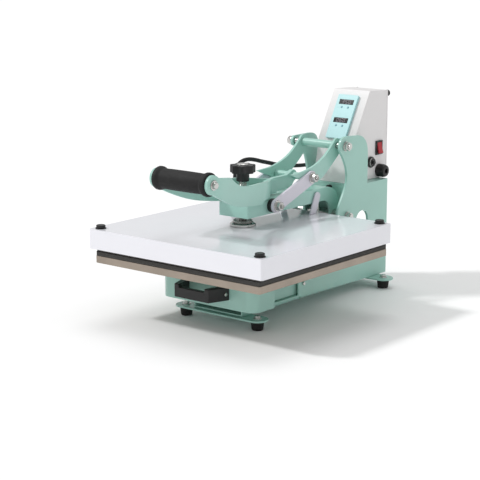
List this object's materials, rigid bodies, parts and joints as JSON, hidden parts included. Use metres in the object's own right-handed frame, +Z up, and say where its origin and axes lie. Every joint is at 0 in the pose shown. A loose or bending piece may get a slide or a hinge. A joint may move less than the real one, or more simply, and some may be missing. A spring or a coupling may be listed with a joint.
{
  "type": "heat press",
  "caption": "Clamshell heat press: a toggle lever closes a heated upper platen onto a padded lower platen in a slide-out drawer, with a slanted control housing behind.",
  "frame": {"origin": "centre of the bounding box at floor level, under the feet", "axes": "+X to the user's right, +Y from the grip to the control housing, +Z up"},
  "size_m": [0.4008, 0.6044, 0.389],
  "materials": {
    "mint_paint": "satin powder coat",
    "white_paint": "gloss powder coat",
    "pale_grey_paint": "satin powder coat",
    "foot_rubber": "matte",
    "grip_foam": "matte foam",
    "black_plastic": "moulded",
    "cable_sleeve": "braided sleeve",
    "zinc_steel": "bright zinc",
    "platen_aluminium": "machined",
    "silicone": "matte silicone sheet",
    "red_plastic": "gloss",
    "panel_plastic": "membrane",
    "display_window": "smoked window",
    "fibre_board": "pressed fibre",
    "strut_paint": "black paint"
  },
  "bodies": {
    "base": {"base_channel": "mint_paint", "front_foot_bar": "mint_paint", "rear_foot_bar": "mint_paint", "rubber_foot_front_right": "foot_rubber", "rubber_foot_front_left": "foot_rubber", "rubber_foot_rear_right": "foot_rubber", "rubber_foot_rear_left": "foot_rubber", "side_plate_right": "mint_paint", "side_plate_left": "mint_paint", "back_plate": "mint_paint", "control_shelf": "mint_paint", "slide_rail_right": "mint_paint", "slide_rail_left": "mint_paint", "control_housing": "white_paint", "control_rear_cover": "white_paint", "controller_body": "panel_plastic", "display_upper": "display_window", "display_lower": "display_window", "switch_frame": "black_plastic", "breaker_body": "black_plastic", "mains_gland": "black_plastic", "lever_axle": "zinc_steel", "arm_axle": "zinc_steel", "bump_stop": "foot_rubber", "cable_gland_housing": "black_plastic", "heater_cable": "cable_sleeve"},
    "arm": {"platen_arm": "mint_paint", "screw_nut": "zinc_steel", "arm_hub_tube": "zinc_steel"},
    "upper_platen": {"heat_casing": "white_paint", "insulation_board": "fibre_board", "heating_plate": "platen_aluminium", "swivel_plate": "zinc_steel", "level_stay_right": "pale_grey_paint", "level_stay_left": "pale_grey_paint", "cable_gland_casing": "black_plastic"},
    "screw": {"pressure_screw": "zinc_steel", "pressure_knob": "black_plastic"},
    "lever": {"lever_horn_right": "mint_paint", "lever_horn_left": "mint_paint", "lever_stem": "mint_paint", "lever_bow_right": "mint_paint", "lever_bow_left": "mint_paint", "grip": "grip_foam"},
    "links": {"link_bar_right": "pale_grey_paint", "link_bar_left": "pale_grey_paint", "link_spacer_right": "black_plastic", "link_spacer_left": "black_plastic"},
    "drawer": {"drawer_tray": "mint_paint", "drawer_handle": "black_plastic", "lower_platen": "platen_aluminium", "silicone_pad": "silicone"},
    "strut_body": {"strut_cylinder": "strut_paint"},
    "strut_piston": {"strut_rod": "zinc_steel"},
    "rocker": {"switch_rocker": "red_plastic"},
    "breaker": {"breaker_button": "black_plastic"},
    "key_upper_up": {"button_upper_up": "panel_plastic"},
    "key_upper_down": {"button_upper_down": "panel_plastic"},
    "key_lower_up": {"button_lower_up": "panel_plastic"},
    "key_lower_down": {"button_lower_down": "panel_plastic"}
  },
  "joints": [
    {"name": "arm_hinge", "type": "hinge", "parent": "base", "child": "arm", "pos_m": [0, 0.13795, 0.157], "axis": [-1, 0, 0], "range_deg": [0, 20.37], "deforming": ["heater_cable"]},
    {"name": "lever_hinge", "type": "hinge", "parent": "base", "child": "lever", "pos_m": [0, 0.12995, 0.2945], "axis": [-1, 0, 0], "range_deg": [0, 65]},
    {"name": "link_hinge", "type": "hinge", "parent": "lever", "child": "links", "pos_m": [0, 0.04295, 0.244], "axis": [-1, 0, 0], "range_deg": [-89.4, 0]},
    {"name": "platen_lift", "type": "slide", "parent": "arm", "child": "upper_platen", "axis": [0, 0, 1], "range_m": [0, 0.004]},
    {"name": "knob_spin", "type": "hinge", "parent": "upper_platen", "child": "screw", "pos_m": [0, -0.10505, 0.2], "axis": [0, 0, 1], "range_deg": [0, 720]},
    {"name": "drawer_slide", "type": "slide", "parent": "base", "child": "drawer", "axis": [0, -1, 0], "range_m": [0, 0.25]},
    {"name": "strut_hinge", "type": "hinge", "parent": "base", "child": "strut_body", "pos_m": [0.018, 0.10095, 0.031], "axis": [-1, 0, 0], "range_deg": [0, 5.56]},
    {"name": "strut_slide", "type": "slide", "parent": "strut_body", "child": "strut_piston", "axis": [0, 0, 1], "range_m": [0, 0.0112]},
    {"name": "switch_rock", "type": "hinge", "parent": "base", "child": "rocker", "pos_m": [0.046, 0.27095, 0.274], "axis": [0, 1, 0], "range_deg": [0, 10]},
    {"name": "breaker_press", "type": "slide", "parent": "base", "child": "breaker", "axis": [-1, 0, 0], "range_m": [0, 0.002], "stiffness_N_per_m": 500, "springref_m": -0.002},
    {"name": "press_upper_up", "type": "slide", "parent": "base", "child": "key_upper_up", "axis": [0, 0.8726, -0.4885], "range_m": [0, 0.0006], "stiffness_N_per_m": 400, "springref_m": -0.001},
    {"name": "press_upper_down", "type": "slide", "parent": "base", "child": "key_upper_down", "axis": [0, 0.8726, -0.4885], "range_m": [0, 0.0006], "stiffness_N_per_m": 400, "springref_m": -0.001},
    {"name": "press_lower_up", "type": "slide", "parent": "base", "child": "key_lower_up", "axis": [0, 0.8726, -0.4885], "range_m": [0, 0.0006], "stiffness_N_per_m": 400, "springref_m": -0.001},
    {"name": "press_lower_down", "type": "slide", "parent": "base", "child": "key_lower_down", "axis": [0, 0.8726, -0.4885], "range_m": [0, 0.0006], "stiffness_N_per_m": 400, "springref_m": -0.001}
  ],
  "couplings": [
    {"joint": "lever_hinge", "follows": "arm_hinge", "ratio": 3.191},
    {"joint": "link_hinge", "follows": "arm_hinge", "ratio": -4.3873},
    {"joint": "strut_hinge", "follows": "arm_hinge", "ratio": 0.27043},
    {"joint": "strut_slide", "follows": "arm_hinge", "m_per_rad": 0.031},
    {"joint": "knob_spin", "follows": "platen_lift", "rad_per_m": 3141.5}
  ]
}
